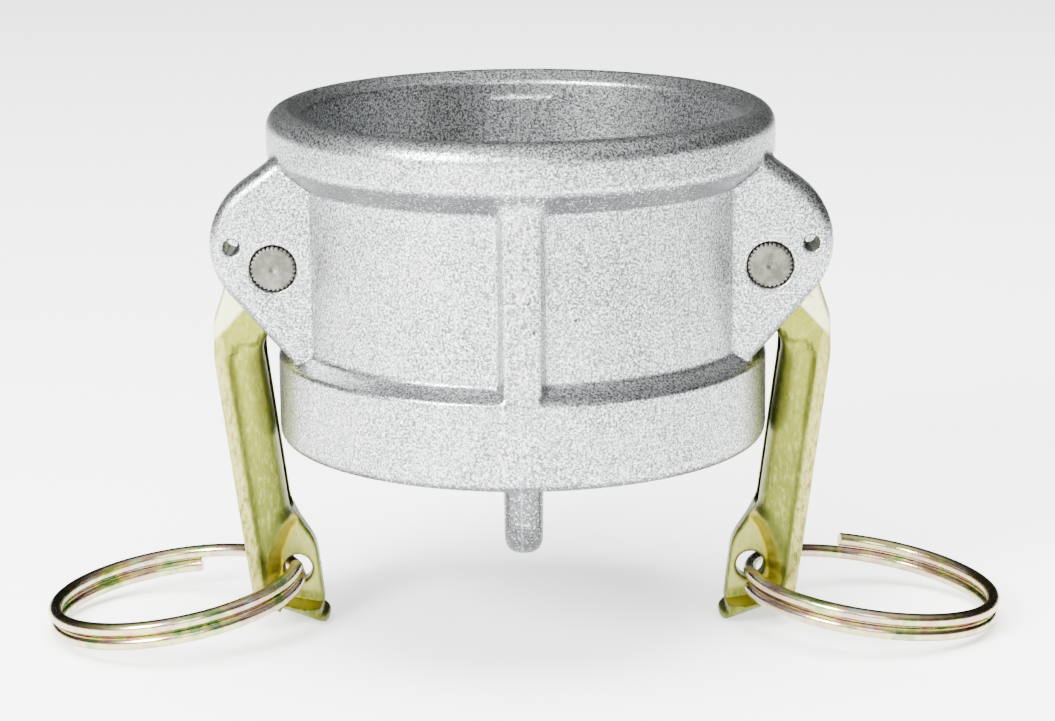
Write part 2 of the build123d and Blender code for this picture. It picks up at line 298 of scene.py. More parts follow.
def surface_of(rough: Field, exact: Field, axes: tuple[Array, Array, Array], settle: int = 2) -> Surface:
    """The surface where a field is zero, worked out on a grid of stations.

    Each cell that the surface crosses gets one point, the mean of the crossings on its twelve edges,
    and each grid edge that it crosses gets one quad between its four cells. Then every point moves to
    p - d g / |g|^2, with d the field and g its slope there.

    Args:
        rough: the field, quick to read, for the grid.
        exact: the same field, for the points.
        axes: the stations along X, Y and Z.
        settle: how often the points are evened out and moved on to the surface.

    Returns:
        The surface with its normals.
    """
    x, y, z = axes
    value = rough(x[:, None, None], y[None, :, None], z[None, None, :]).astype(np.float32)
    shape = tuple(n - 1 for n in value.shape)
    total = np.zeros(shape, np.float32)
    place = np.zeros(shape + (3,), np.float32)
    crossings = []
    for axis in range(3):
        a, b = np.delete(value, -1, axis), np.delete(value, 0, axis)
        cut = (a < 0) != (b < 0)
        at = np.argwhere(cut)
        share = a[cut] / (a[cut] - b[cut])
        where = np.stack([axes[k][at[:, k]] for k in range(3)], 1)
        where[:, axis] += share * np.diff(axes[axis])[at[:, axis]]
        crossings.append((at, a[cut] < 0))
        first, second = (axis + 1) % 3, (axis + 2) % 3
        for da in (0, 1):
            for db in (0, 1):
                cell = at.copy()
                cell[:, first] -= da
                cell[:, second] -= db
                keep = np.all((cell >= 0) & (cell < np.array(shape)), 1)
                flat = np.ravel_multi_index(cell[keep].T, shape)
                total += np.bincount(flat, minlength=total.size).reshape(shape).astype(np.float32)
                for k in range(3):
                    place[..., k] += np.bincount(flat, where[keep, k], total.size).reshape(shape)
    used = total > 0
    number = np.full(shape, -1, np.int64)
    number[used] = np.arange(int(used.sum()))
    points = (place[used] / total[used][:, None]).astype(float)
    faces = []
    for axis, (at, solid) in enumerate(crossings):
        first, second = (axis + 1) % 3, (axis + 2) % 3
        keep = (at[:, first] > 0) & (at[:, second] > 0)
        keep &= (at[:, first] < shape[first]) & (at[:, second] < shape[second])
        at, solid = at[keep], solid[keep]
        corners = []
        for da, db in ((1, 1), (0, 1), (0, 0), (1, 0)):
            cell = at.copy()
            cell[:, first] -= da
            cell[:, second] -= db
            corners.append(number[tuple(cell.T)])
        quad = np.stack(corners, 1)
        quad[~solid] = quad[~solid][:, ::-1]
        faces.append(quad)
    quads = np.concatenate(faces)
    ends = np.concatenate([quads[:, [0, 1]], quads[:, [1, 2]], quads[:, [2, 3]], quads[:, [3, 0]]])
    limit = 0.6 * min(float(np.diff(a).min()) for a in axes)
    for turn in range(settle + 1):
        if turn:
            count = np.bincount(ends[:, 0], minlength=len(points))[:, None]
            near = points[ends[:, 1]]
            total = np.stack([np.bincount(ends[:, 0], near[:, k], len(points)) for k in range(3)], 1)
            points = 0.5 * points + 0.5 * total / np.maximum(count, 1)
        for _ in range(2):
            grade = slope(exact, points)
            size = np.maximum((grade**2).sum(1), 0.05)
            move = -(exact(*points.T) / size)[:, None] * grade
            length = np.linalg.norm(move, axis=1, keepdims=True)
            points = points + move * np.minimum(1.0, limit / np.maximum(length, 1e-9))
    grade = slope(exact, points, 0.12)
    normals = grade / np.maximum(np.linalg.norm(grade, axis=1, keepdims=True), 1e-9)
    return Surface(points, quads, normals=normals)


def hollow(shape: Field, surface: Surface, reaches: tuple[float, float]) -> Array:
    """How enclosed each point is: the mean of 1 - d / reach, with d the free distance at each reach."""
    total = np.zeros(len(surface.points))
    for reach in reaches:
        ahead = surface.points + surface.normals * reach
        total += np.clip(1.0 - shape(*ahead.T) / reach, 0.0, 1.0)
    return total / len(reaches)


# Shader building


class Signal:
    """A number that varies over a surface; arithmetic on it adds Math nodes."""

    def __init__(self, nodes: "Nodes", socket: Socket) -> None:
        """Keeps the node tree and the socket that gives the number."""
        self.nodes = nodes
        self.socket = socket

    def math(self, operation: str, *others: "Signal | float", clamp: bool = False) -> "Signal":
        """The result of a Math node on this number and the others."""
        inputs = {0: self, **{place + 1: other for place, other in enumerate(others)}}
        node = self.nodes.node("Math", {"operation": operation, "use_clamp": clamp}, inputs)
        return Signal(self.nodes, node.outputs[0])

    def __add__(self, other: "Signal | float") -> "Signal":
        """The sum."""
        return self.math("ADD", other)

    def __mul__(self, other: "Signal | float") -> "Signal":
        """The product."""
        return self.math("MULTIPLY", other)

    def __sub__(self, other: "Signal | float") -> "Signal":
        """The difference."""
        return self.math("SUBTRACT", other)

    def __rsub__(self, other: float) -> "Signal":
        """A number less this one."""
        return self.math("MULTIPLY", -1.0).math("ADD", other)

    __radd__ = __add__

    def between(self, low: float, high: float) -> "Signal":
        """0 at `low`, 1 at `high`, smooth between and level outside."""
        return self.mapped("SMOOTHSTEP", {"From Min": low, "From Max": high})

    def mapped(self, kind: str, limits: dict[str, float]) -> "Signal":
        """The result of a Map Range node of this kind, with its limits by socket name."""
        inputs = {"Value": self, **limits}
        node = self.nodes.node("MapRange", {"interpolation_type": kind}, inputs)
        return Signal(self.nodes, node.outputs["Result"])


class Nodes:
    """A node tree that code fills."""

    def __init__(self, tree: bpy.types.NodeTree) -> None:
        """Empties the tree."""
        self.tree = tree
        self.tree.nodes.clear()

    def feed(self, socket: Socket, value: object) -> None:
        """Links or sets one input socket."""
        if isinstance(value, Signal):
            value = value.socket
        if isinstance(value, Socket):
            self.tree.links.new(value, socket)
        elif isinstance(value, (tuple, list)) and socket.type == "RGBA":
            socket.default_value = (*value[:3], 1.0)
        else:
            socket.default_value = value

    def node(self, kind: str, settings: dict[str, object], inputs: dict[object, object]) -> bpy.types.Node:
        """Adds a node of any type.

        Args:
            kind: the node's type name, after "ShaderNode".
            settings: its properties, set first; `stops` sets a colour ramp's stops.
            inputs: values or links by socket name or number.

        Returns:
            The node.
        """
        node = self.tree.nodes.new("ShaderNode" + kind)
        for key, value in settings.items():
            if key == "stops":
                ramp_node = node.color_ramp
                while len(ramp_node.elements) < len(value):
                    ramp_node.elements.new(0.5)
                for element, (position, color) in zip(ramp_node.elements, value):
                    element.position = position
                    element.color = (*color, 1.0)
            else:
                setattr(node, key, value)
        for key, value in inputs.items():
            self.feed(node.inputs[key], value)
        return node

    def ramp(self, factor: Signal, stops: Sequence[tuple[float, Tint]]) -> Socket:
        """A colour from a ramp with these stops."""
        return self.node("ValToRGB", {"stops": stops}, {"Fac": factor}).outputs["Color"]


class Shader(Nodes):
    """One material: a principled surface and the nodes that feed it."""

    def __init__(self, name: str) -> None:
        """Makes an empty material with its output and principled shader."""
        self.material = bpy.data.materials.new(name)
        self.material.use_nodes = True
        super().__init__(self.material.node_tree)
        self.surface = self.node("BsdfPrincipled", {}, {})
        self.node("OutputMaterial", {}, {"Surface": self.surface.outputs["BSDF"]})
        self.place = self.node("TexCoord", {}, {}).outputs["Object"]

    def stretched(self, scale: Tint) -> Socket:
        """Object coordinates multiplied by these shares."""
        return self.node("Mapping", {}, {"Vector": self.place, "Scale": scale}).outputs["Vector"]

    def noise(self, size: float, detail: float = 3.0, rough: float = 0.55, where: object = None) -> Signal:
        """Cloudy noise whose lumps are about `size` millimetres wide."""
        inputs = {"Scale": 1.0 / (size * MM), "Detail": detail, "Roughness": rough}
        node = self.node("TexNoise", {}, {"Vector": where or self.place, **inputs})
        return Signal(self, node.outputs["Fac"])

    def cells(self, size: float) -> Signal:
        """Distance to the nearest of scattered points about `size` millimetres apart."""
        inputs = {"Vector": self.place, "Scale": 1.0 / (size * MM), "Randomness": 1.0}
        node = self.node("TexVoronoi", {"feature": "F1"}, inputs)
        return Signal(self, node.outputs["Distance"])

    def value(self, name: str) -> Signal:
        """A named value kept at the piece's points."""
        node = self.node("Attribute", {"attribute_name": name}, {})
        return Signal(self, node.outputs["Fac"])

    def axis(self, name: str) -> Signal:
        """One object coordinate, in millimetres."""
        node = self.node("SeparateXYZ", {}, {"Vector": self.place})
        return Signal(self, node.outputs[name]) * (1.0 / MM)

    def blend(self, factor: "Signal | float", a: object, b: object) -> Socket:
        """Colour `a` where the factor is 0 and `b` where it is 1."""
        node = self.node("Mix", {"data_type": "RGBA"}, {0: factor, 6: a, 7: b})
        return node.outputs[2]

    def layered(self, colour: object, *layers: tuple[Signal, Tint]) -> Socket:
        """A colour with others laid over it in order, each where its factor is 1."""
        for factor, tint in layers:
            colour = self.blend(factor, colour, tint)
        return colour

    def bump(self, height: Signal, depth: float) -> Socket:
        """A normal from a height of 0 to 1 that stands for `depth` millimetres."""
        inputs = {"Height": height, "Distance": depth * MM, "Strength": 1.0}
        return self.node("Bump", {}, inputs).outputs["Normal"]

    def finish(self, **inputs: object) -> bpy.types.Material:
        """Feeds the principled shader's sockets, named with _ for spaces, and gives the material."""
        for key, value in inputs.items():
            self.feed(self.surface.inputs[key.replace("_", " ")], value)
        return self.material


# Finishes


@dataclass(frozen=True)
class CastAluminium:
    """Sand-cast aluminium: fine grain with painted glints, soft mottling, a few pits, a faint mould seam
    and painted shade.
    """

    light: Tint = (0.64, 0.65, 0.66)
    dark: Tint = (0.085, 0.095, 0.095)
    shade: Tint = (0.065, 0.072, 0.075)
    painted_glint: Tint = (0.97, 0.97, 0.97)
    pit: Tint = (0.05, 0.06, 0.055)
    line: Tint = (0.85, 0.86, 0.87)
    grain: float = 0.44
    seam_x: float = -0.4

    def make(self) -> bpy.types.Material:
        """Builds the material."""
        s = Shader("cast aluminium")
        grain = s.noise(self.grain, 1.0, 0.6)
        coarse = s.noise(1.3, 3.0, 0.6)
        cloud = s.noise(14.0, 3.0, 0.5)
        pits = s.cells(8.3).between(0.05, 0.025) * s.noise(22.0, 1.0).between(0.52, 0.60)
        seam = (s.axis("X") - self.seam_x).math("ABSOLUTE").between(0.45, 0.1)
        tone = grain.between(0.36, 0.64) * 0.85 + coarse * 0.15 + (cloud - 0.5) * 0.35
        # Painted glints: the brightest grain specks turn near white and are a little less rough.
        sparkle = grain.between(0.61, 0.72)
        colour = s.layered(
            self.dark,
            (tone.math("ADD", 0.0, clamp=True), self.light),
            # Painted shade: darkens the colour in coves, on faces that look down, low on the lug and on the
            # ears' tops.
            (s.value("cove").between(0.05, 0.6) * 0.86, self.shade),
            (sparkle * 0.85, self.painted_glint),
            (pits, self.pit),
            (seam * 0.14, self.line),
        )
        rough = 0.35 - sparkle * 0.12 + (coarse - 0.5) * 0.2
        normal = s.bump(grain * 0.7 + coarse * 0.5 - pits * 2.0 + seam * 0.4, 0.09)
        return s.finish(Base_Color=colour, Metallic=0.95, Roughness=rough, Normal=normal)


@dataclass(frozen=True)
class PlatedSteel:
    """Pressed steel with yellow chromate: pale gold-green, paler on the flat plate, with a painted pale
    highlight on the head and painted olive shade in the folds.
    """

    gold: Tint = (0.23, 0.24, 0.028)
    moss: Tint = (0.115, 0.135, 0.018)
    painted_head_highlight: Tint = (0.88, 0.88, 0.50)
    pale: Tint = (0.36, 0.37, 0.10)
    yellow: Tint = (0.46, 0.38, 0.025)
    olive: Tint = (0.045, 0.055, 0.008)
    tan: Tint = (0.42, 0.39, 0.12)

    def make(self) -> bpy.types.Material:
        """Builds the material."""
        s = Shader("yellow plated steel")
        cloud = s.noise(9.0, 4.0, 0.6)
        fine = s.noise(0.7, 3.0, 0.7)
        streak = s.noise(1.6, 4.0, 0.6, s.stretched((2.0, 2.0, 0.7)))
        fall = s.axis("Z").between(14.0, -34.0)
        colour = s.layered(
            self.gold,
            ((fall + (cloud - 0.5) * 0.9).math("ADD", 0.0, clamp=True), self.moss),
            (streak.between(0.46, 0.72) * 0.5, self.pale),
            # Painted highlight: the head above its slanted line turns pale, where its facet catches the
            # light.
            (s.value("head") * 0.9, self.painted_head_highlight),
            (s.value("strip") * streak.between(0.3, 0.6), self.tan),
            (s.value("bright") * (cloud * 1.3), self.pale),
            (s.value("wall") * 0.85, self.yellow),
            # Painted shade: olive along the inner bend, at the arch crease and on the step above the
            # pinched plate.
            (s.value("fold"), self.olive),
            (fine.between(0.58, 0.70) * 0.6, self.olive),
        )
        rough = 0.30 + cloud * 0.12 + fine * 0.10
        normal = s.bump(fine * 0.5 + streak * 0.5, 0.05)
        return s.finish(Base_Color=colour, Metallic=0.9, Roughness=rough, Normal=normal)


@dataclass(frozen=True)
class PlatedWire:
    """Bright plated wire whose film shifts between green, yellow and pink."""

    film: tuple[tuple[float, Tint], ...] = (
        (0.30, (0.50, 0.49, 0.36)),
        (0.42, (0.22, 0.33, 0.13)),
        (0.50, (0.56, 0.53, 0.24)),
        (0.58, (0.48, 0.31, 0.24)),
        (0.68, (0.48, 0.52, 0.38)),
    )

    def make(self) -> bpy.types.Material:
        """Builds the material."""
        s = Shader("plated wire")
        drift = s.noise(11.0, 2.0, 0.5) * 0.8 + s.noise(3.0, 2.0, 0.5) * 0.25
        colour = s.ramp(drift, self.film)
        fine = s.noise(0.5, 2.0, 0.6)
        rough = 0.17 + fine * 0.10
        return s.finish(Base_Color=colour, Metallic=1.0, Roughness=rough, Normal=s.bump(fine, 0.012))


@dataclass(frozen=True)
class TurnedSteel:
    """Turned pin steel: warm grey with rings left by the tool about the pin's own axis, and painted shade
    in the spline gaps.
    """

    side: Side
    dark: Tint = (0.09, 0.087, 0.072)
    light: Tint = (0.19, 0.185, 0.155)
    gap: Tint = (0.02, 0.02, 0.02)

    def make(self) -> bpy.types.Material:
        """Builds the material."""
        s = Shader("turned pin steel")
        dx, dz = s.axis("X") - self.side.value * PIN_X, s.axis("Z") - PIN_Z
        radius = (dx * dx + dz * dz).math("SQRT")
        rings = (radius * 11.0).math("SINE") * 0.5 + 0.5
        fine = s.noise(0.5, 3.0, 0.7)
        cloud = s.noise(2.5, 3.0, 0.6)
        colour = s.blend(cloud.between(0.35, 0.7), self.dark, self.light)
        # Painted shade: near black in the spline gaps.
        colour = s.blend(s.value("gap").between(0.15, 0.5) * 0.95, colour, self.gap)
        normal = s.bump(rings * 0.5 + fine * 0.7, 0.04)
        return s.finish(Base_Color=colour, Metallic=0.85, Roughness=0.38 + fine * 0.15, Normal=normal)


@dataclass(frozen=True)
class GasketRubber:
    """Moulded black rubber with a dusty bloom."""

    black: Tint = (0.018, 0.018, 0.019)
    dusty: Tint = (0.05, 0.05, 0.05)

    def make(self) -> bpy.types.Material:
        """Builds the material."""
        s = Shader("gasket rubber")
        bloom = s.noise(6.0, 4.0, 0.6)
        fine = s.noise(0.6, 2.0, 0.6)
        colour = s.blend(bloom.between(0.45, 0.75), self.black, self.dusty)
        return s.finish(Base_Color=colour, Roughness=0.62 + fine * 0.2, Normal=s.bump(fine, 0.03))


# Pieces


def dress(piece: bpy.types.Object, material: bpy.types.Material, body: str, node: str) -> None:
    """Gives a piece its material and body, hides the model's node that it stands for, and reports it."""
    piece.data.materials.append(material)
    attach(piece, body)
    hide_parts(node)
    LOG.info("%s: %d faces, rides on %s", piece.name, len(piece.data.polygons), body)


@dataclass
class CapCasting:
    """The cast cap: cup, ribs, ears, cam slots and chain lug."""

    bottom_z: float = -15.1
    mouth_z: float = 58.0
    band_r: float = 53.55
    panel_r: float = 49.6
    rim_r: float = 55.17
    rib_z: float = 24.0
    rib_half: float = 26.0
    gap_half: float = 10.0
    ear_nose: Point = (50.6, 30.7)
    ear_nose_r: float = 15.9
    ear_nose_ends: Point = (-41.1, 53.4)
    ear_root_r: float = 48.4
    ear_edge: float = 3.0
    ear_fillet: float = 0.8
    back_shift: Point = (3.9, -7.9)
    slot_x: float = 30.0
    slot_low: float = 15.1
    slot_top: float = 36.04
    slot_edge: float = 0.8
    pin_hole_r: float = 4.95
    clip_hole: tuple[float, float, float] = (61.6, 30.7, 1.7)
    hole_edge: float = 0.7
    lug_length: float = 28.2
    lug_half: float = 10.0
    lug_thick: float = 4.6
    lug_taper: float = 0.4
    lug_edge: float = 3.4
    lug_fillet: float = 3.0
    lug_hole_r: float = 4.75
    lug_hole_edge: float = 1.6

    def __post_init__(self) -> None:
        """Works out the outlines that the field reads."""
        inside = -10.0
        cup = [
            (inside, self.bottom_z), (self.band_r, self.bottom_z), (self.band_r, 3.9), (self.panel_r, 6.5),
            (self.panel_r, 42.6), (self.rim_r, 47.5), (self.rim_r, self.mouth_z), (50.7, self.mouth_z),
            (47.45, 55.7), (46.75, 14.5), (46.2, 13.9), (46.2, 0.4), (47.65, 0.4), (47.65, -6.35),
            (38.1, -6.35), (38.1, -10.1), (inside, -10.1),
        ]
        radii = [0, 2.6, 1.3, 1.5, 1.3, 3.0, 4.3, 1.0, 1.2, *[0] * 6, 1, 0]
        self.cup = Outline(cup, radii)
        first, last = self.ear_nose_ends
        nose = [self.ear_nose + polar(self.ear_nose_r, a) for a in np.linspace(first, last, 14)]
        ear = [*nose, nose[-1] + polar(22.0, last + 90), nose[0] + polar(35.0, first - 90)]
        self.ear = Outline(ear, [0] * len(ear))
        rib = [(-6.0, 48.4), (6.0, 48.4), (5.0, 49.7), (3.7, 53.0), (-3.7, 53.0), (-5.0, 49.7)]
        self.rib = Outline(rib, [0, 0, 0.8, 0.9, 0.9, 0.8])
        tip, root, half = self.bottom_z - self.lug_length, self.bottom_z + 6, self.lug_half
        lug = [(-half, tip), (half, tip), (half, root), (-half, root)]
        self.lug = Outline(lug, [9.9, 9.9, 0, 0])
        low, top, half = self.slot_low, self.slot_top, self.gap_half
        slot = [(-half, low), (half, low), (half, top), (-half, top)]
        self.slot = Outline(slot, [2.0] * 4)

    def field(self, x: Array, y: Array, z: Array, exact: bool) -> Array:
        """Distance past the casting's surface, negative in the metal.

        The cup turned about Z, the ribs, ears and lug joined to it with fillets, then the holes cut out.

        Args:
            x, y, z: coordinates.
            exact: reads the outlines themselves in place of their tables.

        Returns:
            Distances.
        """
        x, y, z = np.broadcast_arrays(x, y, z)
        read = Outline.distance if exact else Outline.near
        ax, ay, out = np.abs(x), np.abs(y), np.hypot(x, y)
        rib = np.maximum(read(self.rib, x, ay), np.abs(z - self.rib_z) - self.rib_half)
        solid = joined(read(self.cup, out, z), rib, 1.3 + 1.5 * ramp((z - 34.0) / 8.0))
        middle, thick = (EAR_HALF + self.gap_half) / 2, (EAR_HALF - self.gap_half) / 2
        flat = read(self.ear, ax, z)
        lower = common(flat, read(self.ear, ax - self.back_shift[0], z - self.back_shift[1]), 2.0)
        ear = slab(np.where(y > 0, lower, flat), np.abs(ay - middle) - thick, self.ear_edge)
        solid = joined(solid, np.maximum(ear, self.ear_root_r - out), self.ear_fillet)
        fall = (self.bottom_z - z) / self.lug_length
        lug = slab(read(self.lug, y, z), ax - (self.lug_thick - self.lug_taper * fall), self.lug_edge)
        lug_z = self.bottom_z - self.lug_length + self.lug_half
        lug = common(lug, self.lug_hole_r - np.hypot(y, z - lug_z), self.lug_hole_edge)
        solid = joined(solid, lug, self.lug_fillet)
        slot = np.maximum(read(self.slot, y, z), self.slot_x - ax)
        solid = common(solid, -slot, self.slot_edge)
        for hole_x, hole_z, radius in ((PIN_X, PIN_Z, self.pin_hole_r), self.clip_hole):
            solid = common(solid, radius - np.hypot(ax - hole_x, z - hole_z), self.hole_edge)
        return solid

    def shade(self, surface: Surface, cove: Array) -> Array:
        """How much painted shade each point carries, from 0 to 1.

        Args:
            surface: the casting's surface.
            cove: how enclosed each point is.

        Returns:
            The largest of four shares of painted shade: in the coves, on faces that look down, low on the
            lug, and on the ears' tops.
        """
        x, y, z = surface.points.T
        _, facing, rise = surface.normals.T
        # Painted shade in the coves under the rim and beside the ribs, then on faces that look down, low on
        # the lug and on the ears' tops.
        cove = 0.5 * cove * np.where(np.abs(x) < 9.0, 1.0, ramp((z - 12.0) / 8.0))
        under = 0.6 * ramp((-0.08 - rise) / 0.55)
        below = 0.46 * ramp((self.bottom_z - 0.5 - z) / 5.0)
        from_nose = np.hypot(np.abs(x) - self.ear_nose[0], z - self.ear_nose[1])
        crown = 0.27 * ramp((rise - 0.1) / 0.2) * ramp((1.0 - np.abs(facing)) / 0.25)
        crown *= ramp((from_nose - 12.0) / 1.5) * (np.hypot(x, y) > 51.5)
        crown = np.where(z < 46.5, crown, 0.0)
        return np.maximum(np.maximum(cove, under), np.maximum(below, crown))

    def build(self, finish: CastAluminium) -> None:
        """Makes the casting and dresses it, on a grid that is finest at the ears, rim and ribs."""
        x = stations((-68, -44, 0.72), (-44, -7, 1.5), (-7, 7, 0.72), (7, 44, 1.5), (44, 68, 0.72))
        y = stations(
            (-56.5, -45, 0.8), (-45, -22.5, 1.5), (-22.5, -8.5, 0.72), (-8.5, 8.5, 1.4),
            (8.5, 22.5, 0.72), (22.5, 45, 1.5), (45, 56.5, 0.8),
        )
        z = stations((-45, -14, 1.0), (-14, -1, 1.3), (-1, 8, 0.75), (8, 40, 0.95), (40, 59.5, 0.72))
        rough, exact = partial(self.field, exact=False), partial(self.field, exact=True)
        surface = surface_of(rough, exact, (x, y, z))
        # Painted shade kept at the casting's points, for its finish to read.
        surface.values = {"cove": self.shade(surface, hollow(rough, surface, (1.5, 4.5)))}
        dress(surface.build("cap_casting"), finish.make(), "cap", "cap_body")


@dataclass
class Gasket:
    """The flat ring in its groove."""

    outer_r: float = 47.25
    inner_r: float = 38.1
    thickness: float = 6.35
    face_r: float = 46.05
    bevel: float = 1.0
    edge: float = 0.3

    def build(self, finish: GasketRubber) -> None:
        """Turns the rounded section about Z: point (r cos a, r sin a, z)."""
        low = -self.thickness
        rim = [(self.outer_r, low), (self.outer_r, -self.bevel), (self.face_r, 0)]
        section = rounded_outline([(self.inner_r, 0), (self.inner_r, low), *rim], [self.edge] * 5, 30.0)
        angle = np.linspace(0, 2 * math.pi, 241)[:-1, None]
        r, z = section[None, :, 0], section[None, :, 1]
        rings = np.stack([r * np.cos(angle), r * np.sin(angle), z + 0 * angle], -1)
        surface = skin(rings, True)
        dress(surface.build("gasket_ring"), finish.make(), "cap", "gasket")


@dataclass
class PivotPin:
    """A pivot pin: plain shank, splines at the front end, a centre dimple."""

    side: Side
    shank_r: float = 4.7625
    spline_r: float = 4.9
    spline_depth: float = 0.38
    spline_length: float = 8.0
    teeth: int = 30

    def build(self) -> None:
        """Turns a profile of (radius, place along Y, share of the splines) about the pin's axis.

        Over the splines the radius falls by depth * (1 - |sin(n a / 2)|^0.7), which leaves narrow gaps.
        """
        around = self.teeth * 8
        angle = np.linspace(0, 2 * math.pi, around + 1)[:-1]
        front, back = -EAR_HALF, EAR_HALF
        shank, top = self.shank_r, self.spline_r
        profile = [
            (0.35, front + 0.42, 0), (0.75, front + 0.12, 0), (0.95, front, 0), (1.2, front, 0),
            (2.4, front, 0), (3.4, front, 0), (top - 0.85, front, 0), (top - 0.75, front + 0.02, 0.1),
            (top - 0.4, front + 0.12, 0.75), (top - 0.1, front + 0.3, 1), (top, front + 0.55, 1),
            (top, front + self.spline_length, 1),
            (shank, front + self.spline_length + 0.1, 0), (shank, back - 0.4, 0),
            (shank - 0.4, back, 0), (2.4, back, 0), (0.3, back, 0),
        ]
        radius, depth, cut = (np.array(column) for column in zip(*profile))
        notch = self.spline_depth * (1 - np.abs(np.sin(self.teeth * angle / 2)) ** 0.7)
        r = radius[:, None] - cut[:, None] * notch[None, :]
        x = self.side.value * PIN_X + r * np.cos(angle)
        z = PIN_Z + r * np.sin(angle)
        rings = np.stack([x, depth[:, None] + 0 * r, z], -1)
        surface = skin(rings[:, ::-1], False)
        # Painted shade in the spline gaps: deeper where the notch is deeper, strongest on the upper right
        # side of the pin and uneven from one to the next.
        uneven = 0.65 + 0.35 * np.sin(np.round(self.teeth * angle / (2 * math.pi)) * 2.4)
        shaded_side = 0.12 + 0.88 * uneven * ramp(0.55 + 0.75 * np.cos(angle - math.radians(45.0)))
        gap = (cut[:, None] * (notch * shaded_side)[None, :] / self.spline_depth)[:, ::-1]
        surface.values = {"gap": np.concatenate([gap.ravel(), [0.0, 0.0]])}
        name = self.side.name.lower()
        finish = TurnedSteel(self.side)
        dress(surface.build(f"pin_{name}"), finish.make(), "cap", f"pivot_pin_{name}")


@dataclass
class CamArm:
    """A pressed steel cam arm, worked out in its own plane: u is out and v is up from the pivot."""

    lean: float = 7.354
    sheet: float = 2.6
    half: float = 9.6
    flank: float = 8.2
    plate: float = 2.8
    outer: float = 17.1
    inner: float = 6.5
    bore_r: float = 4.82
    lip_corner: float = 9.2
    roll: float = 4.8
    roll_u: float = 11.5
    outer_edge: float = 1.3
    inner_edge: float = 1.0
    steep_v: float = -75.5
    lip_v: float = -78.5
    lip_u: float = 1.1
    web_turn: Point = (15.9, -12.0)
    ring_hole: tuple[float, float, float] = (6.9, -71.9, 3.12)
    cell: float = 0.15

    def __post_init__(self) -> None:
        """Works out the outlines that the field reads."""
        flat = polar(6.35, 65 + self.lean)
        flat_nose, flat_web = flat + polar(4.0, 155 + self.lean), flat + polar(6.5, self.lean - 25)
        nose, up = polar(10.8, 180 + self.lean), polar(3.6, 90 + self.lean)
        outer, inner = self.outer, self.inner
        corners = [
            flat_nose, nose + up, nose - up, (-1.5, -10.0), (inner, -19.0), (inner, -57.0), (1.9, -66.5),
            (2.1, -80.1), (3.1, -81.9), (self.lip_u, -83.0), (1.9, -84.8), (outer, -76.8),
            (outer, -20.5), self.web_turn, flat_web,
        ]
        radii = [1.5, 3.2, 3.2, 6, 6, 7, 9, 0.9, 0.6, 0.8, 0.9, 5.0, 14, 9, 1.5]
        self.profile = Outline(corners, radii, self.cell)
        recess = [(-12, -17.5), (0, -11.5), (9.0, -10.9), (14.6, -15.6), (14.6, -75.2), (-8, -88)]
        self.recess = Outline(recess, [0, 4, 2, 2, 2, 0], self.cell)
        arch = [(-6, -12.5), (5.5, -15.2), (8.4, -17.8), (10.4, -17.0), (12.6, -17.4), (14.4, -21.5)]
        arch += [(14.5, -75.4), (-8, -88)]
        self.arch = Outline(arch, [0, 2, 1.5, 1.5, 2, 4, 2, 0], self.cell)
        pinch = [(-6, -57.0), (5.0, -57.0), (9.2, -60.6), (12.4, -66.5), (13.9, -73.0), (12.6, -78.0)]
        pinch += [(-8, -84.6)]
        self.pinch = Outline(pinch, [0, 4, 6, 6, 4, 1.5, 0], self.cell)
        direction = self.web_turn - flat_web
        direction /= np.linalg.norm(direction)
        inward = np.array([direction[1], -direction[0]])
        start = flat_web + inward * self.sheet - direction * 6
        web = outer - self.sheet
        channel = [(-18, start[1]), start, (13.3, -12.9), (web, -21.1), (web, -52), (web - 5, -57.5)]
        channel += [(-18, -57.5)]
        self.channel = Outline(channel, [0, 0, 6, 10, 4, 3, 0], self.cell)

    def width(self, u: Array, v: Array, exact: bool) -> Array:
        """Half the arm's width at each place of its plane.

        Full at the head, the web's border and the lip; it slopes in over the head's lower facet, steps
        down to the flank at the arch and falls to the pinched plate, with small press marks at the steps.
        The flank rolls in towards its free edge by r - sqrt(r^2 - (r - d)^2), with d the way to that edge.
        """
        read = Outline.distance if exact else Outline.near
        recess, arch, pinch = (read(outline, u, v) for outline in (self.recess, self.arch, self.pinch))
        facet = 0.5 * ramp(-recess / np.where(v > -20, 6.0, 1.4))
        step = (self.half - self.flank - 0.5) * ramp(-arch / 2.0)
        folds = 0.07 * np.exp(-(((arch + 0.6) / 0.7) ** 2)) * np.sin(u * 4.4 + v) * ramp((v + 24) / 3)
        reach = np.where(u < self.roll_u, np.clip(-read(self.profile, u, v), 0.0, self.roll), self.roll)
        rolled = self.roll - np.sqrt(self.roll**2 - (self.roll - reach) ** 2)
        flank = self.half - facet - step + folds - rolled * ramp((-17 - v) / 7)
        angle = np.arctan2(v - self.ring_hole[1], u - self.ring_hole[0])
        tool = 0.14 * np.sin(angle * 17) * np.exp(-(((pinch + 1.5) / 1.1) ** 2))
        wall = np.where(v < self.steep_v, 1.1, 3.0)
        width = flank + (self.plate - flank) * ramp(-pinch / wall) + tool * ramp((u - 6) / 4)
        from_tip = np.clip(u - self.lip_u, 0.0, self.lip_corner)
        lip = self.half - self.lip_corner + np.sqrt(self.lip_corner**2 - (self.lip_corner - from_tip) ** 2)
        return np.where(v < self.lip_v, np.minimum(width, lip), width)

    def field(self, u: Array, y: Array, v: Array, exact: bool) -> Array:
        """Distance past the sheet's surface, about true near it and negative in the metal."""
        u, y, v = np.broadcast_arrays(u, y, v)
        flat = (u, v) if exact else (u[:, :1], v[:, :1])
        read = Outline.distance if exact else Outline.near
        ay, width = np.abs(y), self.width(*flat, exact)
        solid = common(read(self.profile, *flat), ay - width, self.outer_edge)
        inside = common(read(self.channel, *flat), ay - (width - self.sheet), self.inner_edge)
        solid = common(solid, -inside, 0.7)
        solid = common(solid, self.bore_r - np.hypot(u, v), 0.5)
        hole_u, hole_v, hole_r = self.ring_hole
        return common(solid, hole_r - np.hypot(u - hole_u, v - hole_v), 1.0)

